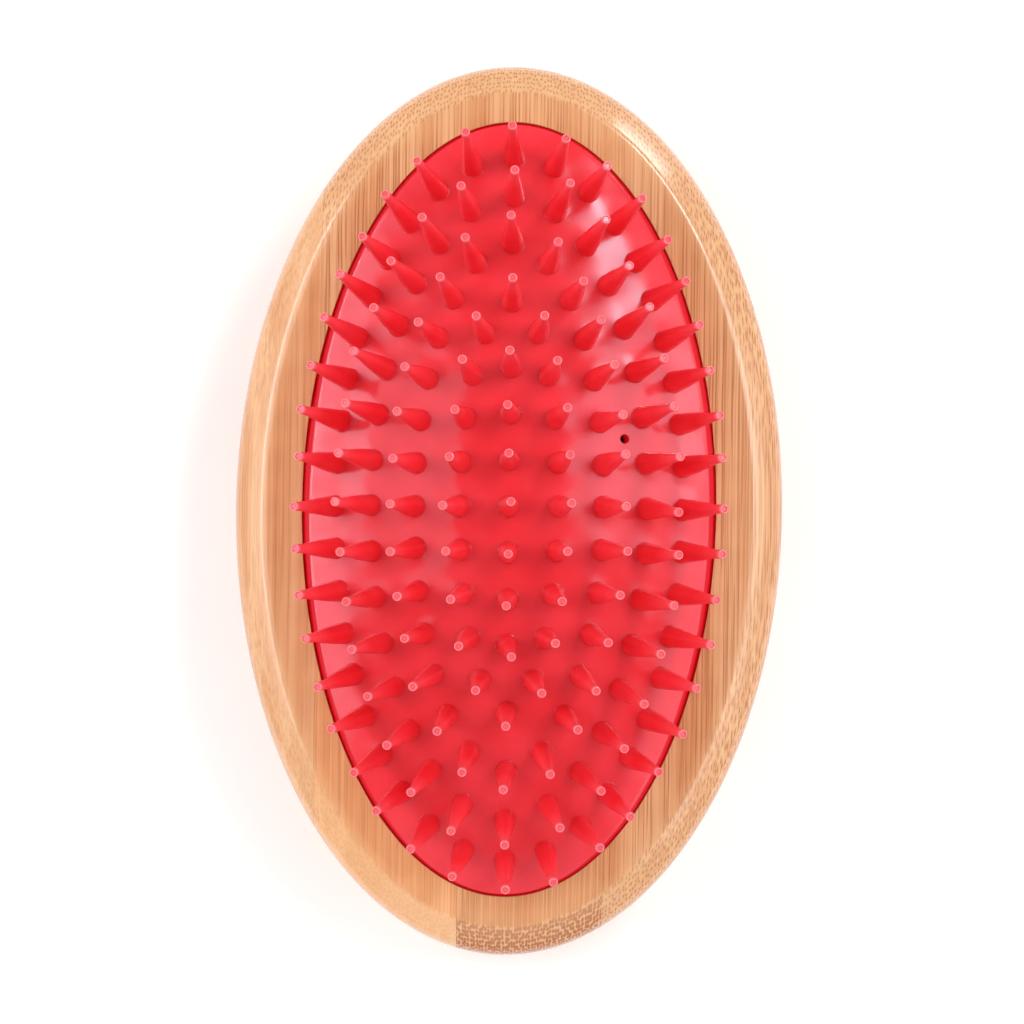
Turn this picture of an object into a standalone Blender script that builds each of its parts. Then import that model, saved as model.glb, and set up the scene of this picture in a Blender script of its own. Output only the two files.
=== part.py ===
"""Scalp massager brush: an oval palm handle glued up from bamboo strips, with a domed silicone cushion
held in its mouth and tapered pins moulded on the cushion in rings.

Metres, +Z up. The flat back lies on z = 0 and the pins point up. The long axis runs along Y and the
width along X, and the middle of the back is the origin. The cushion is divided between its rings of
pins, so that each zone can slide down into the handle by its own share of the press.
"""

import math

import bmesh
import bpy
from mathutils import Matrix, Vector

# Handle
LENGTH = 0.128
WIDTH = 0.0787
THICKNESS = 0.020
BACK_ROUND = 0.0055
BEVEL_IN = 0.0042
BEVEL_DOWN = 0.0029
SHOULDER_RADIUS = 0.0030
RIDGE_RADIUS = 0.0035
GLUE_GAP = 0.0003
CORE_BOTTOM = 0.0070
FRONT_BOTTOM = 0.0135
STRIP_WIDTH = 0.0207
FRONT_SEAM = 0.0140

# Mouth in the front ply and the wider pocket under it
MOUTH_HALF_LENGTH = 0.0554
MOUTH_HALF_WIDTH = 0.0296
MOUTH_ROUND = 0.0004
POCKET_UNDERCUT = 0.0015
POCKET_FLOOR = 0.0100

# Cushion
DOME_RISE = 0.0080
SKIRT_GAP = 0.0003
SKIRT_WALL = 0.0016
SKIN = 0.0018
ROLL_RADIUS = 0.0010
ROLL_BOTTOM = 0.0190
ROLL_END_ANGLE = 66
ROLL_STEPS = 3
RIM_WIDTH = 0.0022
BEAD_OUT = 0.0012
BEAD_HEIGHT = 0.0028
ZONE_GAP = 0.0003
ZONE_SPLIT = 0.42
VENT_RADIUS = 0.0007
VENT_AT = (0.0165, 0.0098)
VENT_ZONE = "ring_2"

# Rings of pins: number, half width and half length of the oval that their roots stand on
PIN_RINGS = {
    "ring_1": (40, 0.0248, 0.0502),
    "ring_2": (32, 0.0196, 0.0443),
    "ring_3": (28, 0.0134, 0.0375),
    "ring_4": (20, 0.0070, 0.0291),
}
LINE_PINS = 7
LINE_HALF_LENGTH = 0.0197

# One pin
PIN_LENGTH = 0.0120
PIN_ROOT_RADIUS = 0.00155
PIN_NECK_RADIUS = 0.00072
PIN_TIP_RADIUS = 0.00060
PIN_NECK_AT = 0.72
PIN_SUNK = 0.0006
PIN_SIDES = 8
VENT_SIDES = 12
LEAN_PER_METRE_X = 20.3
LEAN_PER_METRE_Y = 6.1

OVAL_STEPS = 80
ZONE_STEPS = 64
ARC_STEPS = 4
BEVEL_STEPS = 2
OUTLINE_STEPS = 2000
MIDDLE_ZONE_ROWS = 3
SHARP_ANGLE = math.radians(32)

BAMBOO_TONES = {
    "bamboo_light": (0.83, 0.57, 0.33),
    "bamboo_mid": (0.77, 0.49, 0.25),
    "bamboo_dark": (0.66, 0.38, 0.17),
}
BAMBOO_ROUGHNESS = 0.42
SILICONE_RED = (0.76, 0.025, 0.035)
SILICONE_ROUGHNESS = 0.28


def make_material(name, colour, roughness):
    material = bpy.data.materials.new(name)
    material.use_nodes = True
    shader = material.node_tree.nodes["Principled BSDF"]
    shader.inputs["Base Color"].default_value = (*colour, 1.0)
    shader.inputs["Roughness"].default_value = roughness
    shader.inputs["Metallic"].default_value = 0.0
    material.diffuse_color = (*colour, 1.0)
    return material


def height_at(height, x, y):
    """A row's height is a number, or a function of the place for rows that lie on the dome."""
    return height(x, y) if callable(height) else height


def add_oval_row(bm, row, steps):
    half_width, half_length, height = row
    places = []
    for step in range(steps):
        turn = 2 * math.pi * step / steps
        x = half_width * math.cos(turn)
        y = half_length * math.sin(turn)
        places.append(bm.verts.new((x, y, height_at(height, x, y))))
    return places


def join_rows(bm, lower, upper):
    count = len(lower)
    for step in range(count):
        following = (step + 1) % count
        bm.faces.new((lower[step], lower[following], upper[following], upper[step]))


def close_with_fan(bm, row, places, outward_up):
    middle = bm.verts.new((0.0, 0.0, height_at(row[2], 0.0, 0.0)))
    count = len(places)
    for step in range(count):
        following = (step + 1) % count
        if outward_up:
            bm.faces.new((places[step], places[following], middle))
        else:
            bm.faces.new((places[following], places[step], middle))


def new_object(name, bm, material):
    bmesh.ops.recalc_face_normals(bm, faces=bm.faces)
    mesh = bpy.data.meshes.new(name)
    bm.to_mesh(mesh)
    bm.free()
    if material:
        mesh.materials.append(material)
    obj = bpy.data.objects.new(name, mesh)
    bpy.context.scene.collection.objects.link(obj)
    return obj


def oval_ring(name, rows, steps, material=None):
    """A ring-shaped solid: the rows run once round its cross-section."""
    bm = bmesh.new()
    loops = [add_oval_row(bm, row, steps) for row in rows]
    for index, loop in enumerate(loops):
        join_rows(bm, loop, loops[(index + 1) % len(loops)])
    return new_object(name, bm, material)


def oval_block(name, rows, steps, material=None):
    """A solid whose rows run from the middle of its underside out and round to the middle of its top."""
    bm = bmesh.new()
    loops = [add_oval_row(bm, row, steps) for row in rows]
    for lower, upper in zip(loops, loops[1:]):
        join_rows(bm, lower, upper)
    close_with_fan(bm, rows[0], loops[0], False)
    close_with_fan(bm, rows[-1], loops[-1], True)
    return new_object(name, bm, material)


def box(name, low, high):
    bm = bmesh.new()
    bmesh.ops.create_cube(bm, size=1.0)
    for vertex in bm.verts:
        vertex.co = [low[axis] if vertex.co[axis] < 0 else high[axis] for axis in range(3)]
    return new_object(name, bm, None)


def combined(name, base, other, operation, material):
    """A new object holding base joined with other or cut to it. Neither is changed."""
    modifier = base.modifiers.new("combine", "BOOLEAN")
    modifier.operation = operation
    modifier.solver = "EXACT"
    modifier.object = other
    seen = base.evaluated_get(bpy.context.evaluated_depsgraph_get())
    mesh = bpy.data.meshes.new_from_object(seen)
    base.modifiers.remove(modifier)
    mesh.name = name
    mesh.materials.clear()
    if material:
        mesh.materials.append(material)
    result = bpy.data.objects.new(name, mesh)
    bpy.context.scene.collection.objects.link(result)
    return result


def smooth(obj):
    obj.data.shade_smooth()
    obj.data.set_sharp_from_angle(angle=SHARP_ANGLE)


def inset_row(inset, height):
    """A row of the handle's outline, moved in by inset."""
    return (WIDTH / 2 - inset, LENGTH / 2 - inset, height)


def mouth_row(grow, height):
    return (MOUTH_HALF_WIDTH + grow, MOUTH_HALF_LENGTH + grow, height)


def back_round_rows():
    rows = []
    for step in range(ARC_STEPS + 1):
        turn = math.pi / 2 * step / ARC_STEPS
        inset = BACK_ROUND * (1 - math.sin(turn))
        rows.append(inset_row(inset, BACK_ROUND * (1 - math.cos(turn))))
    return rows


def rounded(before, corner, after, radius, steps):
    """The points of a profile's corner, rounded between its two straight sides."""
    corner = Vector(corner)
    first = (Vector(before) - corner).normalized()
    second = (Vector(after) - corner).normalized()
    half = first.angle(second) / 2
    reach = radius / math.tan(half)
    middle = corner + (first + second).normalized() * radius / math.sin(half)
    start = corner + first * reach - middle
    turned = start.angle_signed(corner + second * reach - middle)
    turns = [Matrix.Rotation(-turned * step / steps, 2) for step in range(steps + 1)]
    return [tuple(middle + turn @ start) for turn in turns]


def front_bevel_rows():
    """From the side wall to the flat front face: the shoulder, the bevel and its soft ridge."""
    wall = (0.0, FRONT_BOTTOM)
    shoulder = (0.0, THICKNESS - BEVEL_DOWN)
    ridge = (BEVEL_IN, THICKNESS)
    flat = (2 * BEVEL_IN, THICKNESS)
    points = rounded(wall, shoulder, ridge, SHOULDER_RADIUS, BEVEL_STEPS)
    points += rounded(shoulder, ridge, flat, RIDGE_RADIUS, BEVEL_STEPS)
    return [inset_row(inset, height) for inset, height in points]


def front_ply():
    bottom = FRONT_BOTTOM + GLUE_GAP / 2
    return oval_ring(
        "front_ply",
        [
            inset_row(0.0, bottom),
            *front_bevel_rows(),
            mouth_row(MOUTH_ROUND, THICKNESS),
            mouth_row(0.0, THICKNESS - MOUTH_ROUND),
            mouth_row(0.0, bottom),
        ],
        OVAL_STEPS,
    )


def core_ply():
    bottom = CORE_BOTTOM + GLUE_GAP / 2
    top = FRONT_BOTTOM - GLUE_GAP / 2
    return oval_block(
        "core_ply",
        [
            inset_row(0.0, bottom),
            inset_row(0.0, top),
            mouth_row(POCKET_UNDERCUT, top),
            mouth_row(POCKET_UNDERCUT, POCKET_FLOOR),
        ],
        OVAL_STEPS,
    )


def back_ply():
    top = CORE_BOTTOM - GLUE_GAP / 2
    return oval_block("back_ply", [*back_round_rows(), inset_row(0.0, top)], OVAL_STEPS)


def cut_strip(name, ply, left, right, near, far, material):
    """The part of a ply between two seams, and between y = near and y = far."""
    slab = box(
        "strip_slab",
        (left + GLUE_GAP / 2, near, -THICKNESS),
        (right - GLUE_GAP / 2, far, THICKNESS * 2),
    )
    strip = combined(name, ply, slab, "INTERSECT", material)
    bpy.data.objects.remove(slab)
    smooth(strip)


def build_handle(materials):
    light, mid, dark = (materials[name] for name in BAMBOO_TONES)
    edge = WIDTH
    end = LENGTH

    front = front_ply()
    seams = [FRONT_SEAM + STRIP_WIDTH * step for step in (-2, -1, 0, 1)]
    cut_strip("front_left_edge", front, -edge, seams[0], -end, end, mid)
    cut_strip("front_left_top", front, seams[0], seams[1], 0, end, light)
    cut_strip("front_left_bottom", front, seams[0], seams[1], -end, 0, light)
    cut_strip("front_centre_top", front, seams[1], seams[2], 0, end, mid)
    cut_strip("front_centre_bottom", front, seams[1], seams[2], -end, 0, dark)
    cut_strip("front_right", front, seams[2], seams[3], -end, end, light)
    cut_strip("front_right_edge", front, seams[3], edge, -end, end, mid)

    core = core_ply()
    core_seams = [-edge, -STRIP_WIDTH, 0.0, STRIP_WIDTH, edge]
    tones = [light, dark, mid, light]
    for index, tone in enumerate(tones):
        left, right = core_seams[index : index + 2]
        cut_strip(f"core_strip_{index + 1}", core, left, right, -end, end, tone)

    back = back_ply()
    back_seams = [-edge, *(STRIP_WIDTH * step for step in (-1.5, -0.5, 0.5, 1.5)), edge]
    tones = [mid, light, mid, light, dark]
    for index, tone in enumerate(tones):
        left, right = back_seams[index : index + 2]
        cut_strip(f"back_strip_{index + 1}", back, left, right, -end, end, tone)

    for ply in (front, core, back):
        bpy.data.objects.remove(ply)


def dome(x, y):
    """Height of the cushion's outer skin: an evenly blown-up oval skin bulges like this."""
    across = x / (MOUTH_HALF_WIDTH - SKIRT_GAP)
    along = y / (MOUTH_HALF_LENGTH - SKIRT_GAP)
    return THICKNESS + DOME_RISE * (1 - across**2 - along**2)


def dome_underside(x, y):
    return dome(x, y) - SKIN


def build_cushion_rim(material):
    """Bead under the front ply, skirt up the wall of the mouth, and the rolled edge over to the dome."""
    skirt_out = -SKIRT_GAP
    skirt_in = skirt_out - SKIRT_WALL
    inner = skirt_out - RIM_WIDTH
    bead_bottom = POCKET_FLOOR + SKIRT_GAP
    bead_top = bead_bottom + BEAD_HEIGHT
    roll = []
    for step in range(ROLL_STEPS + 1):
        turn = math.radians(ROLL_END_ANGLE) * step / ROLL_STEPS
        out = skirt_out - ROLL_RADIUS * (1 - math.cos(turn))
        roll.append(mouth_row(out, ROLL_BOTTOM + ROLL_RADIUS * math.sin(turn)))
    rows = [
        mouth_row(BEAD_OUT, bead_bottom),
        mouth_row(BEAD_OUT, bead_top),
        mouth_row(skirt_out, bead_top),
        *roll,
        mouth_row(inner, dome),
        mouth_row(inner, dome_underside),
        mouth_row(skirt_in, ROLL_BOTTOM - SKIN),
        mouth_row(skirt_in, bead_bottom),
    ]
    smooth(oval_ring("cushion_rim", rows, ZONE_STEPS, material))


def oval_places(count, half_width, half_length):
    """Places at equal steps along an oval, the first on the long axis."""
    turns = [2 * math.pi * step / OUTLINE_STEPS for step in range(OUTLINE_STEPS + 1)]
    outline = [(half_width * math.sin(t), half_length * math.cos(t)) for t in turns]
    walked = [0.0]
    for start, stop in zip(outline, outline[1:]):
        walked.append(walked[-1] + math.dist(start, stop))
    places = []
    index = 0
    for step in range(count):
        target = walked[-1] * step / count
        while walked[index + 1] < target:
            index += 1
        places.append(outline[index])
    return places


def line_places():
    pitch = 2 * LINE_HALF_LENGTH / (LINE_PINS - 1)
    return [(0.0, -LINE_HALF_LENGTH + pitch * step) for step in range(LINE_PINS)]


def add_pin(bm, x, y):
    """A tapered pin with a straight neck and a flat tip, leaning out from the middle of the dome."""
    lean = Vector((LEAN_PER_METRE_X * x, LEAN_PER_METRE_Y * y, 1.0)).normalized()
    turn = Vector((0, 0, 1)).rotation_difference(lean).to_matrix().to_4x4()
    place = Matrix.Translation((x, y, dome(x, y))) @ turn
    rows = []
    for radius, along in (
        (PIN_ROOT_RADIUS, -PIN_SUNK),
        (PIN_NECK_RADIUS, PIN_LENGTH * PIN_NECK_AT),
        (PIN_TIP_RADIUS, PIN_LENGTH),
    ):
        row = []
        for side in range(PIN_SIDES):
            angle = 2 * math.pi * (side + 0.5) / PIN_SIDES
            corner = (radius * math.cos(angle), radius * math.sin(angle), along)
            row.append(bm.verts.new(place @ Vector(corner)))
        rows.append(row)
    for lower, upper in zip(rows, rows[1:]):
        join_rows(bm, lower, upper)
    bm.faces.new(reversed(rows[0]))
    bm.faces.new(rows[-1])


def add_pins(name, zone, places, material):
    bm = bmesh.new()
    for x, y in places:
        add_pin(bm, x, y)
    pins = new_object("pins", bm, None)
    smooth(combined(name, zone, pins, "UNION", material))
    bpy.data.objects.remove(pins)
    bpy.data.objects.remove(zone)


def zone_row(oval, out, height):
    return (oval[0] + out, oval[1] + out, height)


def zone_ring(inner, outer):
    rows = [
        zone_row(outer, -ZONE_GAP / 2, dome_underside),
        zone_row(outer, -ZONE_GAP / 2, dome),
        zone_row(inner, ZONE_GAP / 2, dome),
        zone_row(inner, ZONE_GAP / 2, dome_underside),
    ]
    return oval_ring("zone", rows, ZONE_STEPS)


def zone_middle(outer):
    """The middle zone is long and narrow, so its two faces have rows inside to follow the dome."""
    half_width = outer[0] - ZONE_GAP / 2
    half_length = outer[1] - ZONE_GAP / 2
    shares = [(row + 1) / MIDDLE_ZONE_ROWS for row in range(MIDDLE_ZONE_ROWS)]
    under = [(half_width * s, half_length * s, dome_underside) for s in shares]
    over = [(half_width * s, half_length * s, dome) for s in reversed(shares)]
    return oval_block("zone", under + over, ZONE_STEPS)


def vented(zone):
    """The zone with the air hole through its skin."""
    x, y = VENT_AT
    bm = bmesh.new()
    bmesh.ops.create_cone(
        bm,
        cap_ends=True,
        segments=VENT_SIDES,
        radius1=VENT_RADIUS,
        radius2=VENT_RADIUS,
        depth=4 * SKIN,
        matrix=Matrix.Translation((x, y, dome(x, y))),
    )
    drill = new_object("vent_drill", bm, None)
    result = combined("vented_zone", zone, drill, "DIFFERENCE", None)
    bpy.data.objects.remove(drill)
    bpy.data.objects.remove(zone)
    return result


def parting(inner, outer):
    """The oval where the skin is parted between two ovals of pins."""
    return tuple(low + ZONE_SPLIT * (high - low) for low, high in zip(inner, outer))


def build_zones(material):
    """One zone of the skin under each ring of pins, parted from the next between the rings."""
    rim_inner = MOUTH_HALF_WIDTH - SKIRT_GAP - RIM_WIDTH
    rim_inner_length = MOUTH_HALF_LENGTH - SKIRT_GAP - RIM_WIDTH
    outer = (rim_inner - ZONE_GAP / 2, rim_inner_length - ZONE_GAP / 2)
    ovals = [oval[1:] for oval in PIN_RINGS.values()] + [(0.0, LINE_HALF_LENGTH)]
    for (name, (count, *oval)), following in zip(PIN_RINGS.items(), ovals[1:]):
        inner = parting(following, oval)
        zone = zone_ring(inner, outer)
        if name == VENT_ZONE:
            zone = vented(zone)
        add_pins(f"cushion_{name}", zone, oval_places(count, *oval), material)
        outer = inner
    add_pins("cushion_centre", zone_middle(outer), line_places(), material)


def main():
    for obj in list(bpy.data.objects):
        bpy.data.objects.remove(obj)
    materials = {
        name: make_material(name, colour, BAMBOO_ROUGHNESS)
        for name, colour in BAMBOO_TONES.items()
    }
    silicone = make_material("silicone_red", SILICONE_RED, SILICONE_ROUGHNESS)
    build_handle(materials)
    build_cushion_rim(silicone)
    build_zones(silicone)


main()
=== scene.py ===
"""Scalp massager brush, the visual model: bamboo lamellae, a domed red silicone cushion and its pins.

Metres, +Z up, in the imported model's frame. The flat back lies on z = 0 and the pins point up. Every
piece stands for the CAD node of the same part and rides on that node's body.
"""

import math
import random

import bmesh
import bpy
from mathutils import Matrix, Vector, noise


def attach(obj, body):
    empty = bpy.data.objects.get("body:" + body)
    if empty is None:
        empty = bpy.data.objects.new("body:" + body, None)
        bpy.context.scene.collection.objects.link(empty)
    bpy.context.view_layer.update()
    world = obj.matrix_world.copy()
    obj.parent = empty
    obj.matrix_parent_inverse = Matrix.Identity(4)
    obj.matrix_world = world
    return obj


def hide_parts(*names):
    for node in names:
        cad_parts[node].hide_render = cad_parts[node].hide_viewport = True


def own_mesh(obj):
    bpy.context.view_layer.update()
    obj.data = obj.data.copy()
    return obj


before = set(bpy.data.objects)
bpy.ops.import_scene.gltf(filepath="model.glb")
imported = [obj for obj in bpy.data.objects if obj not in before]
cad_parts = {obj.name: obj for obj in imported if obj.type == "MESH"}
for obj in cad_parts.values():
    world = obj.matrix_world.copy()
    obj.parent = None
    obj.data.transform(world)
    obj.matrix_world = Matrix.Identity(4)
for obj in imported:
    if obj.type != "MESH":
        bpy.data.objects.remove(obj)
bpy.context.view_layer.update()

MM = 0.001

# Handle. Its ridge is where the bevel meets the flat face, and a painted highlight lightens it. RIDGE_BAND
# is how near to the ridge's oval a vertex is marked for that painted highlight, as a share of that oval, and
# RIDGE_POLISH is how far in from the ridge the next row of vertices on the face is.
LENGTH = 128.0 * MM
WIDTH = 78.7 * MM
THICKNESS = 20.0 * MM
BACK_ROUND = 5.5 * MM
BEVEL_IN = 4.2 * MM
BEVEL_DOWN = 2.9 * MM
RIDGE_RADIUS = 2.0 * MM
SHOULDER_RADIUS = 3.0 * MM
RIDGE_POLISH = 1.6 * MM
RIDGE_BAND = 0.03
GLUE_LINE = 0.012 * MM
CORE_BOTTOM = 7.0 * MM
FRONT_BOTTOM = 13.5 * MM
STRIP_WIDTH = 20.7 * MM
FRONT_SEAM = 14.0 * MM

# Mouth and pocket
MOUTH_HALF_WIDTH = 29.6 * MM
MOUTH_HALF_LENGTH = 55.4 * MM
MOUTH_ROUND = 0.14 * MM
POCKET_UNDERCUT = 1.5 * MM
POCKET_FLOOR = 10.0 * MM

# Cushion. Its rolled edge is ROLL_SIDE wide at the sides and ROLL_END at the ends, drops by ROLL_DROP at
# the wall and curves with the power ROLL_BEND. VENT_FOOT and VENT_TOP are the ends of the cone that cuts
# the vent, as shares of its radius at the skin's top.
DOME_RISE = 8.0 * MM
DOME_HALF_WIDTH = 29.3 * MM
DOME_HALF_LENGTH = 55.1 * MM
SKIRT_GAP = 0.02 * MM
SKIRT_WALL = 1.6 * MM
SKIN = 1.8 * MM
ROLL_SIDE = 1.05 * MM
ROLL_END = 0.40 * MM
ROLL_DROP = 0.32 * MM
ROLL_BEND = 1.3
BEAD_OUT = 1.2 * MM
BEAD_HEIGHT = 2.8 * MM
MOUND_REACH = 1.9 * MM
MOUND_HEIGHT = 0.14 * MM
VENT_RADIUS = 0.7 * MM
VENT_FOOT = 0.05
VENT_TOP = 1.95
VENT_AT = (16.3 * MM, 9.9 * MM)

# Rings of pins: number, half width and half length of the oval that their roots stand on
PIN_RINGS = {
    "ring_1": (40, 24.8 * MM, 50.2 * MM),
    "ring_2": (32, 19.6 * MM, 44.3 * MM),
    "ring_3": (28, 13.4 * MM, 37.5 * MM),
    "ring_4": (20, 7.0 * MM, 29.1 * MM),
}
LINE_PINS = 7
LINE_HALF_LENGTH = 19.7 * MM

# One pin. It thins to its neck with the power PIN_TAPER, and its lean is its place times LEAN_PER_METRE,
# give or take LEAN_UNEVENNESS.
PIN_LENGTH = 12.0 * MM
PIN_ROOT_RADIUS = 1.55 * MM
PIN_NECK_RADIUS = 0.70 * MM
PIN_TIP_RADIUS = 0.63 * MM
PIN_FILLET = 0.20 * MM
PIN_SUNK = 0.7 * MM
PIN_LIP = 0.11 * MM
PIN_NECK_AT = 0.78
PIN_TAPER = 1.35
LEAN_PER_METRE_X = 20.3
LEAN_PER_METRE_Y = 6.1
LEAN_UNEVENNESS = 0.022
LEAN_SEED = 5

# Fineness of the meshes
OVAL_STEPS = 288
SKIN_STEPS = 360
DOME_ROWS = 90
UNDER_ROWS = 12
ROLL_STEPS = 9
PIN_SIDES = 24
PIN_TAPER_ROWS = 8
PIN_LIP_STEPS = 7
FILLET_STEPS = 6
CORNER_STEPS = 8
LIP_STEPS = 5
HEEL_STEPS = 14
VENT_SIDES = 32
OUTLINE_STEPS = 2000
SHARP_ANGLE = math.radians(35)

# A seam or an end that lies beyond the handle
BOUNDLESS = 1.0

# Camera: its distance, how wide it sees there, what it aims at, and its tilt to the near end and the right
CAMERA_DISTANCE = 0.627
VIEW_WIDTH = 147.9 * MM
CAMERA_AIM = (0.42 * MM, -0.32 * MM, 14.0 * MM)
CAMERA_TILT = math.radians(2.0)
CAMERA_DRIFT = 0.0005

# Softboxes, all at LIGHT_DISTANCE: bearing, width, height and radiance
LIGHT_DISTANCE = 1.0
SOFTBOXES = {
    "softbox_left": ((-0.66, 0.17, 1.0), 0.40, 0.60, 1.5),
    "softbox_right": ((0.82, 0.22, 1.0), 0.32, 0.62, 3.0),
    "spot_right": ((0.47, 0.46, 0.76), 0.28, 0.11, 20.0),
    "rim_right": ((0.61, 0.74, 0.27), 0.24, 0.12, 10.0),
    "side_left": ((-0.80, 0.12, 0.50), 1.00, 0.44, 2.8),
    "side_right": ((0.82, -0.15, 0.48), 1.00, 0.44, 1.8),
    "strip_left": ((-0.85, 0.22, 0.47), 0.70, 0.05, 9.0),
    "front_fill": ((0.0, -0.85, 0.55), 1.50, 0.90, 0.45),
}
HORIZON_STRENGTH = 0.57
ZENITH_STRENGTH = 0.40

# Floor
FLOOR_SIZE = 1.5
FLOOR_CELLS = 8
FLOOR_DROP = 0.02 * MM
FLOOR_GLOW = 0.18

# Colours. SILICONE_GLINT tints the silicone's reflections.
BAMBOO_LIGHT = (0.82, 0.450, 0.212)
BAMBOO_MID = (0.67, 0.270, 0.090)
BAMBOO_DARK = (0.42, 0.120, 0.018)
# Painted shade on the wall of the mouth, in the gap beside the cushion
MOUTH_SHADE_BROWN = (0.46, 0.18, 0.06)
SILICONE_DEEP = (0.86, 0.024, 0.036)
SILICONE_RED = (0.89, 0.040, 0.058)
# Painted light on a pin towards its neck, as light through the thinner rubber
SILICONE_NECK_LIGHT = (0.86, 0.13, 0.16)
# Painted light and highlight of a pin's tip
SILICONE_TIP_LIGHT = (0.86, 0.30, 0.33)
# Painted shade on the rolled edge, where it turns down into the gap by the wall
SILICONE_ROLL_SHADE = (0.72, 0.000, 0.008)
SILICONE_GLINT = (0.35, 0.85, 1.0)

# How fine each layer of the bamboo's grain is per metre, across (X), along (Y) and down (Z)
FIBRES = (3600, 26, 3600)
THREADS = (820, 9, 820)
BANDS = (210, 4, 210)
MOTTLE = (70, 30, 70)
WANDER = (60, 45, 60)

# Kinds of grain: distance between fibre bundles, their share of it, how dark they are, how strong the
# fine fibres between them are, and how much of the bundles' darkness shows on a face
FAINT = (0.44 * MM, 0.05, 0.30, 0.40, 1.0)
FINE = (0.46 * MM, 0.08, 0.48, 0.55, 1.0)
USUAL = (0.48 * MM, 0.14, 0.70, 0.72, 1.0)
DENSE = (0.42 * MM, 0.37, 1.00, 0.60, 0.35)

# Fibre bundles, in pitches: how far they wander, and how far their edges and the halo round them fade out.
# BUNDLE_SCATTER is how uneven their spacing is, from 0 to 1.
BUNDLE_WANDER = 1.6
BUNDLE_FADE = 0.14
HALO_FADE = 0.40
BUNDLE_SCATTER = 0.60


# ---------------------------------------------------------------- mesh helpers


def arc(middle, radius, start, stop, steps):
    """Points on an arc in a profile's plane, from the angle start to the angle stop, in degrees."""
    points = []
    for step in range(steps + 1):
        turn = math.radians(start + (stop - start) * step / steps)
        across = middle[0] + radius * math.cos(turn)
        points.append((across, middle[1] + radius * math.sin(turn)))
    return points


def rounded(before, corner, after, radius, steps):
    """The points of a profile's corner, rounded between its two straight sides."""
    corner, before, after = Vector(corner), Vector(before), Vector(after)
    first = (before - corner).normalized()
    second = (after - corner).normalized()
    half = first.angle(second) / 2
    reach = radius / math.tan(half)
    middle = corner + (first + second).normalized() * radius / math.sin(half)
    start = corner + first * reach - middle
    stop = corner + second * reach - middle
    turned = start.angle_signed(stop)
    points = []
    for step in range(steps + 1):
        turn = Matrix.Rotation(-turned * step / steps, 2)
        points.append(tuple(middle + turn @ start))
    return points


def oval_rows(rows, steps):
    """Vertices for rows of (half width, half length, height). A height may be a function of x and y."""
    places = []
    for half_width, half_length, height in rows:
        for step in range(steps):
            turn = 2 * math.pi * step / steps
            x = half_width * math.cos(turn)
            y = half_length * math.sin(turn)
            places.append((x, y, height(x, y) if callable(height) else height))
    return places


def row_faces(lower, upper, steps):
    faces = []
    for step in range(steps):
        following = (step + 1) % steps
        faces.append(
            (
                lower * steps + step,
                lower * steps + following,
                upper * steps + following,
                upper * steps + step,
            )
        )
    return faces


def oval_ring_mesh(name, rows, steps):
    places = oval_rows(rows, steps)
    faces = []
    for index in range(len(rows)):
        faces += row_faces(index, (index + 1) % len(rows), steps)
    mesh = bpy.data.meshes.new(name)
    mesh.from_pydata(places, [], faces)
    return mesh


def oval_block_mesh(name, rows, steps):
    """A closed mesh. Its rows run from the middle of the underside out and round to the top's middle."""
    places = oval_rows(rows, steps)
    faces = []
    for index in range(len(rows) - 1):
        faces += row_faces(index, index + 1, steps)
    for index, end in ((0, rows[0]), (len(rows) - 1, rows[-1])):
        height = end[2](0.0, 0.0) if callable(end[2]) else end[2]
        middle = len(places)
        places.append((0.0, 0.0, height))
        for step in range(steps):
            following = (step + 1) % steps
            faces.append((index * steps + step, index * steps + following, middle))
    mesh = bpy.data.meshes.new(name)
    mesh.from_pydata(places, [], faces)
    return mesh


def face_outwards(mesh):
    bm = bmesh.new()
    bm.from_mesh(mesh)
    bmesh.ops.recalc_face_normals(bm, faces=bm.faces)
    bm.to_mesh(mesh)
    bm.free()


def add_piece(name, mesh, material, node, body):
    piece = bpy.data.objects.new(name, mesh)
    bpy.context.scene.collection.objects.link(piece)
    mesh.materials.clear()
    mesh.materials.append(material)
    mesh.shade_smooth()
    mesh.set_sharp_from_angle(angle=SHARP_ANGLE)
    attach(piece, body)
    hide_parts(node)
    return piece


# ---------------------------------------------------------------- node helpers


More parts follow.
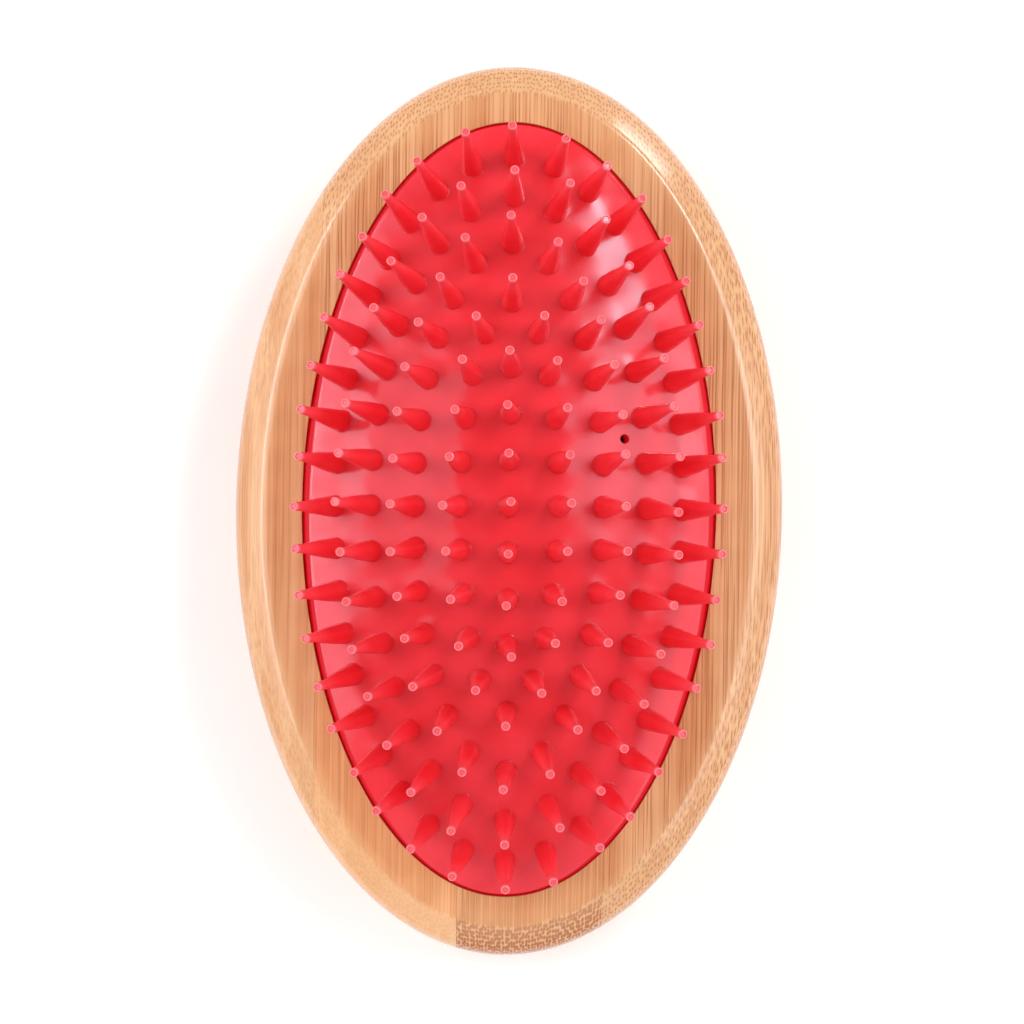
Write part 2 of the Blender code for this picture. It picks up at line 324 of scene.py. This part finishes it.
class Nodes:
    """A new material's node tree, with short calls for the nodes used here."""

    def __init__(self, name):
        self.material = bpy.data.materials.new(name)
        self.material.use_nodes = True
        self.tree = self.material.node_tree
        self.shader = self.tree.nodes["Principled BSDF"]

    def put(self, socket, value):
        if isinstance(value, bpy.types.NodeSocket):
            self.tree.links.new(value, socket)
        else:
            socket.default_value = value

    def node(self, kind, **settings):
        made = self.tree.nodes.new(kind)
        for key, value in settings.items():
            setattr(made, key, value)
        return made

    def math(self, operation, *values):
        made = self.node("ShaderNodeMath", operation=operation)
        for socket, value in zip(made.inputs, values):
            self.put(socket, value)
        return made.outputs[0]

    def between(self, value, low, high, to_low=0.0, to_high=1.0):
        """Value taken from low..high to to_low..to_high, smoothly and kept between the two."""
        made = self.node("ShaderNodeMapRange", interpolation_type="SMOOTHSTEP")
        numbers = (value, low, high, to_low, to_high)
        for index, number in enumerate(numbers):
            self.put(made.inputs[index], number)
        return made.outputs[0]

    def mix(self, share, first, second):
        made = self.node("ShaderNodeMix", data_type="RGBA")
        self.put(made.inputs[0], share)
        self.put(made.inputs[6], first)
        self.put(made.inputs[7], second)
        return made.outputs[2]

    def place(self, scale=(1.0, 1.0, 1.0), shift=(0.0, 0.0, 0.0)):
        """The piece's own coordinates, scaled and then shifted."""
        coordinates = self.node("ShaderNodeTexCoord")
        mapping = self.node("ShaderNodeMapping")
        self.put(mapping.inputs["Vector"], coordinates.outputs["Object"])
        mapping.inputs["Scale"].default_value = scale
        mapping.inputs["Location"].default_value = shift
        return mapping.outputs[0]

    def noise(self, vector, detail=3.0, rough=0.5, output="Fac"):
        made = self.node("ShaderNodeTexNoise")
        self.put(made.inputs["Vector"], vector)
        made.inputs["Scale"].default_value = 1.0
        made.inputs["Detail"].default_value = detail
        made.inputs["Roughness"].default_value = rough
        return made.outputs[output]

    def attribute(self, name):
        made = self.node("ShaderNodeAttribute", attribute_name=name)
        return made.outputs["Fac"]

    def bump(self, height, strength, distance):
        made = self.node("ShaderNodeBump")
        made.inputs["Strength"].default_value = strength
        made.inputs["Distance"].default_value = distance
        self.put(made.inputs["Height"], height)
        return made.outputs["Normal"]


def colour(parts, tone=1.0):
    """A colour's red, green and blue, each times tone, as a shader socket takes them."""
    return (*(part * tone for part in parts), 1.0)


# ---------------------------------------------------------------- materials


def bundle_distance(n, shift, pitch):
    """How far a place is from the nearest fibre bundle, in pitches. The bundles lie along Y and wander
    a little, so only X and Z count."""
    bend = n.node("ShaderNodeVectorMath", operation="MULTIPLY_ADD")
    n.put(bend.inputs[0], n.noise(n.place(WANDER, shift), detail=1.0, output="Color"))
    bend.inputs[1].default_value = (BUNDLE_WANDER, BUNDLE_WANDER, BUNDLE_WANDER)
    n.put(bend.inputs[2], n.place((1 / pitch, 1 / pitch, 1 / pitch), shift))
    turned = n.node("ShaderNodeSeparateXYZ")
    n.put(turned.inputs[0], bend.outputs[0])
    section = n.node("ShaderNodeCombineXYZ")
    n.put(section.inputs[0], turned.outputs["X"])
    n.put(section.inputs[1], turned.outputs["Z"])
    bundles = n.node("ShaderNodeTexVoronoi", voronoi_dimensions="2D", feature="F1")
    n.put(bundles.inputs["Vector"], section.outputs[0])
    bundles.inputs["Scale"].default_value = 1.0
    bundles.inputs["Randomness"].default_value = BUNDLE_SCATTER
    return bundles.outputs["Distance"]


def bamboo(name, seed, tone, pitch, dot, depth, contrast, streak):
    """Lacquered bamboo. Its fibre bundles run along Y, so they are streaks on a face and dots on a cut
    across. tone is the strip's lightness, and the rest is its kind of grain."""
    n = Nodes(name)
    shift = (seed * 3.71, seed * 1.93, seed * 2.57)
    fibres = n.noise(n.place(FIBRES, shift), detail=3.0, rough=0.6)
    threads = n.noise(n.place(THREADS, shift), detail=2.0)
    bands = n.noise(n.place(BANDS, shift), detail=2.0)
    mottle = n.noise(n.place(MOTTLE, shift), detail=3.0)

    distance = n.math("SUBTRACT", bundle_distance(n, shift, pitch), 0.08)
    ragged = n.math("MULTIPLY_ADD", fibres, 0.16, distance)
    bundle = n.between(ragged, dot, dot + BUNDLE_FADE, 1.0, 0.0)
    halo = n.between(ragged, dot, dot + HALO_FADE, 1.0, 0.0)

    normal = n.node("ShaderNodeNewGeometry").outputs["Normal"]
    split = n.node("ShaderNodeSeparateXYZ")
    n.put(split.inputs[0], normal)
    across_grain = n.between(n.math("ABSOLUTE", split.outputs["Y"]), 0.12, 0.50)
    # Painted shade: the more a face turns to the side, the darker it is painted, up to 0.6 on an upright
    # wall.
    side_painted_shade = n.between(n.math("ABSOLUTE", split.outputs["Z"]), 0.0, 0.78, 0.60, 0.0)
    shown = n.between(across_grain, 0.0, 1.0, depth * streak, depth)

    light = colour(BAMBOO_LIGHT, tone)
    mid = colour(BAMBOO_MID, tone)
    dark = colour(BAMBOO_DARK, tone)
    ground = n.mix(n.between(bands, 0.36, 0.66), light, mid)
    ground = n.mix(n.between(threads, 0.42, 0.62, 0.0, 0.60), ground, mid)
    ground = n.mix(n.between(fibres, 0.51, 0.64, 0.0, contrast), ground, dark)
    ground = n.mix(n.between(fibres, 0.47, 0.35, 0.0, contrast), ground, light)
    ground = n.mix(n.between(mottle, 0.45, 0.75, 0.0, 0.25), ground, light)
    ground = n.mix(n.math("MULTIPLY", across_grain, 0.60), ground, light)
    ground = n.mix(n.math("MULTIPLY", halo, shown), ground, mid)
    ground = n.mix(n.math("MULTIPLY", bundle, shown), ground, dark)
    # Painted highlight: the ridge marked 'edge' is made a quarter of the way lighter, where it catches the
    # lamps.
    ground = n.mix(n.math("MULTIPLY", n.attribute("edge"), 0.25), ground, light)
    ground = n.mix(side_painted_shade, ground, dark)
    # Painted shade: the wall of the mouth is painted brown for the shade in the gap beside the cushion.
    ground = n.mix(n.math("MULTIPLY", n.attribute("mouth"), 0.8), ground, colour(MOUTH_SHADE_BROWN))
    n.put(n.shader.inputs["Base Color"], ground)

    gloss = n.math("MULTIPLY", fibres, 0.16)
    gloss = n.math("ADD", gloss, n.between(bundle, 0.0, 1.0, 0.28, 0.38))
    n.put(n.shader.inputs["Roughness"], gloss)
    relief = n.math("ADD", n.math("MULTIPLY", fibres, 0.7), n.math("MULTIPLY", bundle, -0.5))
    n.put(n.shader.inputs["Normal"], n.bump(relief, 0.30, 0.04 * MM))
    n.shader.inputs["Coat Weight"].default_value = 1.0
    n.shader.inputs["Coat Roughness"].default_value = 0.15
    n.shader.inputs["Coat IOR"].default_value = 1.58
    return n.material


def silicone(name, on_pins):
    """Glossy red silicone. On a pin, painted light lightens the colour along it, where less rubber holds the
    light.
    """
    n = Nodes(name)
    cloud = n.noise(n.place((120, 120, 120)), detail=3.0)
    ground = n.mix(n.between(cloud, 0.35, 0.70), colour(SILICONE_RED), colour(SILICONE_DEEP))
    if on_pins:
        # Painted light: a pin is painted paler towards its neck, as light through the thinner rubber.
        neck_painted_light = n.between(n.attribute("along"), 0.45, 1.0, 0.0, 0.35)
        ground = n.mix(neck_painted_light, ground, colour(SILICONE_NECK_LIGHT))
        # Painted light and highlight: the tip is painted pale pink, brightest on its lip.
        ground = n.mix(n.math("MULTIPLY", n.attribute("tip"), 0.6), ground, colour(SILICONE_TIP_LIGHT))
    else:
        # Painted shade: the rolled edge and all outside it are painted a deeper, darker red.
        painted_roll_shade = n.between(n.attribute("roll_shade"), 0.0, 1.0, 0.0, 0.9)
        ground = n.mix(painted_roll_shade, ground, colour(SILICONE_ROLL_SHADE))
    n.put(n.shader.inputs["Base Color"], ground)
    smear = n.noise(n.place((45, 45, 45)), detail=4.0, rough=0.6)
    n.put(n.shader.inputs["Roughness"], n.between(smear, 0.30, 0.75, 0.10, 0.22))
    skin = n.noise(n.place((900, 900, 900)), detail=2.0)
    n.put(n.shader.inputs["Normal"], n.bump(skin, 0.10, 0.02 * MM))
    n.shader.inputs["IOR"].default_value = 1.45
    n.shader.inputs["Specular IOR Level"].default_value = 0.55
    n.shader.inputs["Specular Tint"].default_value = colour(SILICONE_GLINT)
    n.shader.inputs["Subsurface Weight"].default_value = 0.35 if on_pins else 0.30
    n.shader.inputs["Subsurface Radius"].default_value = (1.0, 0.18, 0.15)
    n.shader.inputs["Subsurface Scale"].default_value = 1.4 * MM
    return n.material


def floor_paper():
    """Pale paper with a little light of its own, so that it stays near white round the brush."""
    n = Nodes("floor_paper")
    white = (1.0, 1.0, 1.0)
    fleck = n.noise(n.place((40, 40, 40)), detail=4.0)
    ground = n.mix(n.between(fleck, 0.3, 0.7), colour(white, 0.95), colour(white, 0.92))
    n.put(n.shader.inputs["Base Color"], ground)
    n.shader.inputs["Roughness"].default_value = 0.9
    n.shader.inputs["Emission Color"].default_value = colour(white)
    n.shader.inputs["Emission Strength"].default_value = FLOOR_GLOW
    return n.material


# ---------------------------------------------------------------- handle


def inset_rows(points):
    """Rows of the handle's outline from profile points of (inset, height)."""
    return [(WIDTH / 2 - inset, LENGTH / 2 - inset, height) for inset, height in points]


def mouth_rows(points):
    """Rows round the mouth from profile points of (distance out from its wall, height)."""
    return [(MOUTH_HALF_WIDTH + out, MOUTH_HALF_LENGTH + out, height) for out, height in points]


def front_profile(bottom):
    """The outer side of the front ply: side wall, shoulder, bevel and the soft ridge to the flat face."""
    wall = (0.0, bottom)
    shoulder = (0.0, THICKNESS - BEVEL_DOWN)
    ridge = (BEVEL_IN, THICKNESS)
    flat = (BEVEL_IN * 3, THICKNESS)
    return [
        wall,
        *rounded(wall, shoulder, ridge, SHOULDER_RADIUS, CORNER_STEPS),
        *rounded(shoulder, ridge, flat, RIDGE_RADIUS, CORNER_STEPS),
    ]


def front_ply():
    bottom = FRONT_BOTTOM + GLUE_LINE / 2
    lip = arc((MOUTH_ROUND, THICKNESS - MOUTH_ROUND), MOUTH_ROUND, 90, 180, LIP_STEPS)
    rows = [
        *inset_rows(front_profile(bottom)),
        *inset_rows([(BEVEL_IN + RIDGE_POLISH, THICKNESS)]),
        *mouth_rows([(MOUTH_ROUND * 2, THICKNESS)]),
        *mouth_rows(lip),
        *mouth_rows([(0.0, bottom)]),
    ]
    return oval_ring_mesh("front_ply", rows, OVAL_STEPS)


def core_ply():
    bottom = CORE_BOTTOM + GLUE_LINE / 2
    top = FRONT_BOTTOM - GLUE_LINE / 2
    rows = [
        *inset_rows([(0.0, bottom), (0.0, top)]),
        *mouth_rows([(POCKET_UNDERCUT, top), (POCKET_UNDERCUT, POCKET_FLOOR)]),
    ]
    return oval_block_mesh("core_ply", rows, OVAL_STEPS)


def back_ply():
    top = CORE_BOTTOM - GLUE_LINE / 2
    heel = arc((BACK_ROUND, BACK_ROUND), BACK_ROUND, 270, 180, HEEL_STEPS)
    rows = inset_rows([*heel, (0.0, top)])
    return oval_block_mesh("back_ply", rows, OVAL_STEPS)


def mark_painted_highlight_and_shade(bm):
    """Marks the ridge between the bevel and the flat face for a painted highlight, and the wall of the
    mouth for painted shade in the gap beside the cushion."""
    edge = bm.verts.layers.float.new("edge")
    mouth = bm.verts.layers.float.new("mouth")
    for vertex in bm.verts:
        x, y, z = vertex.co
        out = math.hypot(x / (WIDTH / 2 - BEVEL_IN), y / (LENGTH / 2 - BEVEL_IN))
        # Vertices on the ridge carry the painted highlight.
        near_ridge = abs(out - 1.0) < RIDGE_BAND and z > THICKNESS - BEVEL_DOWN / 2
        vertex[edge] = 1.0 if near_ridge else 0.0
        # Vertices on the mouth's wall above the pocket carry painted shade.
        in_mouth = math.hypot(x / MOUTH_HALF_WIDTH, y / MOUTH_HALF_LENGTH) < 1.0 + MOUTH_ROUND / WIDTH
        vertex[mouth] = 1.0 if in_mouth and z > POCKET_FLOOR else 0.0


def cut_strip(ply, left, right, near, far):
    """The part of a ply between two seams, and between y = near and y = far, closed where it is cut."""
    bm = bmesh.new()
    bm.from_mesh(ply)
    mark_painted_highlight_and_shade(bm)
    planes = (
        ((left + GLUE_LINE / 2, 0, 0), (-1, 0, 0)),
        ((right - GLUE_LINE / 2, 0, 0), (1, 0, 0)),
        ((0, near, 0), (0, -1, 0)),
        ((0, far, 0), (0, 1, 0)),
    )
    for place, outward in planes:
        whole = [*bm.verts, *bm.edges, *bm.faces]
        bmesh.ops.bisect_plane(
            bm, geom=whole, plane_co=place, plane_no=outward, clear_outer=True
        )
        open_edges = [edge for edge in bm.edges if edge.is_boundary]
        if open_edges:
            bmesh.ops.holes_fill(bm, edges=open_edges)
    bmesh.ops.recalc_face_normals(bm, faces=bm.faces)
    mesh = bpy.data.meshes.new("strip")
    bm.to_mesh(mesh)
    bm.free()
    return mesh


def seams_at(steps):
    return [-BOUNDLESS, *(STRIP_WIDTH * step for step in steps), BOUNDLESS]


def strip_plan():
    """Each lamella: its node, ply, seams, ends along Y, tone, grain and slot."""
    seams = [FRONT_SEAM + STRIP_WIDTH * step for step in (-2, -1, 0, 1)]
    whole = (-BOUNDLESS, BOUNDLESS)
    top = (0.0, BOUNDLESS)
    bottom = (-BOUNDLESS, 0.0)
    plan = [
        ("front_left_edge", "front", (-BOUNDLESS, seams[0]), whole, 1.03, FAINT, "bamboo_mid"),
        ("front_left_top", "front", (seams[0], seams[1]), top, 1.00, USUAL, "bamboo_light"),
        ("front_left_bottom", "front", (seams[0], seams[1]), bottom, 1.12, FAINT, "bamboo_light"),
        ("front_centre_top", "front", (seams[1], seams[2]), top, 0.98, USUAL, "bamboo_mid"),
        ("front_centre_bottom", "front", (seams[1], seams[2]), bottom, 1.00, DENSE, "bamboo_dark"),
        ("front_right", "front", (seams[2], seams[3]), whole, 0.97, USUAL, "bamboo_light"),
        ("front_right_edge", "front", (seams[3], BOUNDLESS), whole, 0.98, USUAL, "bamboo_mid"),
    ]
    core_looks = [
        (0.98, FAINT, "light"),
        (0.93, USUAL, "dark"),
        (0.96, FINE, "mid"),
        (1.0, USUAL, "light"),
    ]
    back_looks = [
        (0.93, USUAL, "mid"),
        (1.03, FINE, "light"),
        (0.89, USUAL, "mid"),
        (1.01, FINE, "light"),
        (0.92, USUAL, "dark"),
    ]
    lower_plies = (
        ("core", seams_at((-1, 0, 1)), core_looks),
        ("back", seams_at((-1.5, -0.5, 0.5, 1.5)), back_looks),
    )
    for ply, places, looks in lower_plies:
        for index, (tone, grain, shade) in enumerate(looks):
            node = f"{ply}_strip_{index + 1}"
            edges = (places[index], places[index + 1])
            plan.append((node, ply, edges, whole, tone, grain, f"bamboo_{shade}"))
    return plan


def build_handle():
    plies = {"front": front_ply(), "core": core_ply(), "back": back_ply()}
    for seed, (node, ply, seams, ends, tone, grain, slot) in enumerate(strip_plan(), 1):
        mesh = cut_strip(plies[ply], *seams, *ends)
        mesh.name = f"lamella_{node}"
        material = bamboo(f"bamboo_{node}", seed, tone, *grain)
        add_piece(f"lamella_{node}", mesh, material, node, "handle")
    for mesh in plies.values():
        bpy.data.meshes.remove(mesh)


# ---------------------------------------------------------------- cushion


def dome(x, y):
    across = x / DOME_HALF_WIDTH
    along = y / DOME_HALF_LENGTH
    return THICKNESS + DOME_RISE * (1 - across**2 - along**2)


def oval_places(count, half_width, half_length):
    """Places at equal steps along an oval, the first on the long axis."""
    turns = [2 * math.pi * step / OUTLINE_STEPS for step in range(OUTLINE_STEPS + 1)]
    outline = [(half_width * math.sin(t), half_length * math.cos(t)) for t in turns]
    walked = [0.0]
    for start, stop in zip(outline, outline[1:]):
        walked.append(walked[-1] + math.dist(start, stop))
    places = []
    index = 0
    for step in range(count):
        target = walked[-1] * step / count
        while walked[index + 1] < target:
            index += 1
        places.append(outline[index])
    return places


def line_places():
    pitch = 2 * LINE_HALF_LENGTH / (LINE_PINS - 1)
    return [(0.0, -LINE_HALF_LENGTH + pitch * step) for step in range(LINE_PINS)]


def pin_places():
    groups = {name: oval_places(*ring) for name, ring in PIN_RINGS.items()}
    groups["centre"] = line_places()
    return groups


def ripple(x, y):
    """The moulded skin isn't quite even: a slow, shallow waviness that bends the reflections."""
    slow = noise.noise(Vector((x * 70, y * 60, 0.3)))
    quick = noise.noise(Vector((x * 190, y * 170, 5.1)))
    return (0.16 * slow + 0.035 * quick) * MM


def mounds(places):
    """A function giving the skin's small swell round the roots of the pins. It leaves out a pin that is
    four reaches away, where nothing is left of its swell."""
    reach_square = MOUND_REACH**2

    def swell(x, y):
        total = 0.0
        for px, py in places:
            square = (x - px) ** 2 + (y - py) ** 2
            if square < 16 * reach_square:
                total += MOUND_HEIGHT * math.exp(-square / reach_square)
        return total

    return swell


def cushion_rows(places):
    """Rows from the middle of the dome's underside, down the skirt, round the bead and back over the top."""
    swell = mounds(places)
    skirt_out = -SKIRT_GAP
    skirt_in = skirt_out - SKIRT_WALL
    bead_bottom = POCKET_FLOOR + SKIRT_GAP
    bead_top = bead_bottom + BEAD_HEIGHT
    under_span = 0.93

    def under(x, y):
        return dome(x, y) - SKIN

    def over(x, y):
        return dome(x, y) + ripple(x, y) + swell(x, y)

    def rolled(share):
        """The top of the skin at this share of the way across the rolled edge, from the wall inwards."""
        return lambda x, y: over(x, y) - ROLL_DROP * (1 - share) ** ROLL_BEND

    rows = []
    for step in range(1, UNDER_ROWS + 1):
        share = under_span * step / UNDER_ROWS
        rows.append((DOME_HALF_WIDTH * share, DOME_HALF_LENGTH * share, under))
    rows += mouth_rows([(skirt_in, THICKNESS - ROLL_DROP - SKIN), (skirt_in, bead_bottom)])
    rows += mouth_rows([(BEAD_OUT, bead_bottom), (BEAD_OUT, bead_top), (skirt_out, bead_top)])
    half_width, half_length = MOUTH_HALF_WIDTH - SKIRT_GAP, MOUTH_HALF_LENGTH - SKIRT_GAP
    for step in range(ROLL_STEPS + 1):
        share = step / ROLL_STEPS
        rows.append((half_width - ROLL_SIDE * share, half_length - ROLL_END * share, rolled(share)))
    half_width, half_length = rows[-1][:2]
    for step in range(DOME_ROWS - 1, 0, -1):
        share = step / DOME_ROWS
        rows.append((half_width * share, half_length * share, over))
    return rows


def mark_roll(mesh):
    """Marks the rolled edge and all that lies outside it, which are painted a deeper, darker red as painted
    shade.
    """
    layer = mesh.attributes.new("roll_shade", "FLOAT", "POINT")
    half_width = MOUTH_HALF_WIDTH - SKIRT_GAP - ROLL_SIDE
    half_length = MOUTH_HALF_LENGTH - SKIRT_GAP - ROLL_END
    just_outside = 1.001
    values = []
    for vertex in mesh.vertices:
        out = math.hypot(vertex.co.x / half_width, vertex.co.y / half_length)
        values.append(1.0 if out > just_outside else 0.0)
    layer.data.foreach_set("value", values)


def drill_vent(skin):
    """Cuts the air hole square through the skin, wider at the top than inside."""
    x, y = VENT_AT
    slope_x = 2 * DOME_RISE * x / DOME_HALF_WIDTH**2
    slope_y = 2 * DOME_RISE * y / DOME_HALF_LENGTH**2
    turn = Vector((0, 0, 1)).rotation_difference(Vector((slope_x, slope_y, 1))).to_matrix().to_4x4()
    bm = bmesh.new()
    bmesh.ops.create_cone(
        bm,
        cap_ends=True,
        segments=VENT_SIDES,
        radius1=VENT_RADIUS * VENT_FOOT,
        radius2=VENT_RADIUS * VENT_TOP,
        depth=4 * SKIN,
        matrix=Matrix.Translation((x, y, dome(x, y))) @ turn,
    )
    mesh = bpy.data.meshes.new("vent_drill")
    bm.to_mesh(mesh)
    bm.free()
    drill = bpy.data.objects.new("vent_drill", mesh)
    bpy.context.scene.collection.objects.link(drill)
    cut = skin.modifiers.new("vent", "BOOLEAN")
    cut.operation = "DIFFERENCE"
    cut.solver = "EXACT"
    cut.object = drill
    seen = skin.evaluated_get(bpy.context.evaluated_depsgraph_get())
    skin.data = bpy.data.meshes.new_from_object(seen)
    skin.modifiers.remove(cut)
    bpy.data.objects.remove(drill)


def build_cushion_skin(places):
    mesh = oval_block_mesh("cushion_skin", cushion_rows(places), SKIN_STEPS)
    face_outwards(mesh)
    mark_roll(mesh)
    material = silicone("silicone_skin", False)
    skin = add_piece("cushion_skin", mesh, material, "cushion_rim", "handle")
    drill_vent(skin)
    skin.data.shade_smooth()
    skin.data.set_sharp_from_angle(angle=SHARP_ANGLE)
    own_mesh(skin)


def pin_profile():
    """(radius, distance along the pin) from inside the skin to the dimple in the flat tip."""
    neck = PIN_LENGTH * PIN_NECK_AT
    foot = (PIN_ROOT_RADIUS + 1.15 * PIN_FILLET, -PIN_SUNK)
    waist = (PIN_NECK_RADIUS - 0.03 * MM, neck + 0.7 * MM)
    throat = (PIN_TIP_RADIUS + 0.01 * MM, PIN_LENGTH - 0.8 * MM)
    dimple = (PIN_TIP_RADIUS - 2.4 * PIN_LIP, PIN_LENGTH - 1.6 * PIN_LIP)
    fillet = arc((PIN_ROOT_RADIUS + PIN_FILLET, PIN_FILLET), PIN_FILLET, 262, 180, FILLET_STEPS)
    lip = arc((PIN_TIP_RADIUS - PIN_LIP, PIN_LENGTH - PIN_LIP), PIN_LIP, 0, 150, PIN_LIP_STEPS)
    points = [foot, *fillet]
    for step in range(1, PIN_TAPER_ROWS + 1):
        share = step / PIN_TAPER_ROWS
        radius = PIN_NECK_RADIUS + (PIN_ROOT_RADIUS - PIN_NECK_RADIUS) * (1 - share**PIN_TAPER)
        points.append((radius, PIN_FILLET + (neck - PIN_FILLET) * share))
    return [*points, waist, throat, *lip, dimple]


def lit_tip_share(radius, distance):
    """How much a pin is painted as its lit tip: all on the lip, as a painted highlight, less in the dimple,
    none below.
    """
    tip_from = PIN_LENGTH - 0.2 * MM
    lip_from = 0.75 * PIN_TIP_RADIUS
    in_dimple = 0.4
    if distance <= tip_from:
        return 0.0
    return 1.0 if radius > lip_from else in_dimple


def pins_mesh(name, places, chance):
    """All the pins of one group. Each leans out from the middle, a little unevenly."""
    profile = pin_profile()
    verts = []
    faces = []
    along = []
    tip = []
    for x, y in places:
        lean = Vector(
            (
                LEAN_PER_METRE_X * x + chance.gauss(0, LEAN_UNEVENNESS),
                LEAN_PER_METRE_Y * y + chance.gauss(0, LEAN_UNEVENNESS),
                1.0,
            )
        ).normalized()
        turn = Vector((0, 0, 1)).rotation_difference(lean).to_matrix().to_4x4()
        place = Matrix.Translation((x, y, dome(x, y))) @ turn
        first = len(verts)
        for radius, distance in profile:
            for side in range(PIN_SIDES):
                angle = 2 * math.pi * side / PIN_SIDES
                corner = (radius * math.cos(angle), radius * math.sin(angle), distance)
                verts.append(place @ Vector(corner))
                along.append(max(0.0, distance / PIN_LENGTH))
                tip.append(lit_tip_share(radius, distance))
        for row in range(len(profile) - 1):
            for a, b, c, d in row_faces(row, row + 1, PIN_SIDES):
                faces.append((first + a, first + b, first + c, first + d))
        last = first + (len(profile) - 1) * PIN_SIDES
        faces.append(tuple(range(last, last + PIN_SIDES)))
        faces.append(tuple(reversed(range(first, first + PIN_SIDES))))
    mesh = bpy.data.meshes.new(name)
    mesh.from_pydata(verts, [], faces)
    for key, values in (("along", along), ("tip", tip)):
        layer = mesh.attributes.new(key, "FLOAT", "POINT")
        layer.data.foreach_set("value", values)
    face_outwards(mesh)
    return mesh


def build_pins(groups):
    material = silicone("silicone_pins", True)
    chance = random.Random(LEAN_SEED)
    for name, places in groups.items():
        node = f"cushion_{name}"
        mesh = pins_mesh(f"pins_{name}", places, chance)
        add_piece(f"pins_{name}", mesh, material, node, node)


# ---------------------------------------------------------------- stage


def build_floor():
    bm = bmesh.new()
    bmesh.ops.create_grid(bm, x_segments=FLOOR_CELLS, y_segments=FLOOR_CELLS, size=FLOOR_SIZE)
    mesh = bpy.data.meshes.new("floor")
    bm.to_mesh(mesh)
    bm.free()
    mesh.materials.append(floor_paper())
    floor = bpy.data.objects.new("floor", mesh)
    floor.location.z = -FLOOR_DROP
    bpy.context.scene.collection.objects.link(floor)


def add_softbox(name, bearing, width, height, radiance):
    """A rectangular softbox in the direction bearing, facing the brush."""
    light = bpy.data.lights.new(name, "AREA")
    light.shape = "RECTANGLE"
    light.size = width
    light.size_y = height
    light.energy = radiance * math.pi * width * height
    lamp = bpy.data.objects.new(name, light)
    direction = Vector(bearing).normalized()
    lamp.location = direction * LIGHT_DISTANCE + Vector((0, 0, THICKNESS))
    lamp.rotation_euler = direction.to_track_quat("Z", "Y").to_euler()
    bpy.context.scene.collection.objects.link(lamp)


def build_sky():
    """A white studio: bright all round near the horizon, dimmer overhead where the camera is."""
    world = bpy.data.worlds.new("studio")
    bpy.context.scene.world = world
    world.use_nodes = True
    tree = world.node_tree
    coordinates = tree.nodes.new("ShaderNodeTexCoord")
    split = tree.nodes.new("ShaderNodeSeparateXYZ")
    tree.links.new(coordinates.outputs["Generated"], split.inputs[0])
    strength = tree.nodes.new("ShaderNodeMapRange")
    strength.interpolation_type = "SMOOTHSTEP"
    tree.links.new(split.outputs["Z"], strength.inputs["Value"])
    strength.inputs["From Min"].default_value = 0.1
    strength.inputs["From Max"].default_value = 0.9
    strength.inputs["To Min"].default_value = HORIZON_STRENGTH
    strength.inputs["To Max"].default_value = ZENITH_STRENGTH
    background = tree.nodes["Background"]
    background.inputs["Color"].default_value = (1.0, 1.0, 1.0, 1.0)
    tree.links.new(strength.outputs[0], background.inputs["Strength"])


def build_lights():
    build_sky()
    for name, (bearing, width, height, radiance) in SOFTBOXES.items():
        add_softbox(name, bearing, width, height, radiance)


def build_camera():
    """Almost straight above the brush, tilted a little towards its near end."""
    back = Vector((CAMERA_DRIFT, -math.sin(CAMERA_TILT), 1.0)).normalized()
    data = bpy.data.cameras.new("camera")
    data.sensor_width = 36.0
    data.lens = data.sensor_width * CAMERA_DISTANCE / VIEW_WIDTH
    camera = bpy.data.objects.new("camera", data)
    camera.location = Vector(CAMERA_AIM) + back * CAMERA_DISTANCE
    camera.rotation_euler = back.to_track_quat("Z", "Y").to_euler()
    bpy.context.scene.collection.objects.link(camera)
    bpy.context.scene.camera = camera


bpy.context.scene.view_settings.view_transform = "Standard"
build_camera()
build_floor()
build_lights()
build_handle()
groups = pin_places()
build_cushion_skin([place for places in groups.values() for place in places])
build_pins(groups)
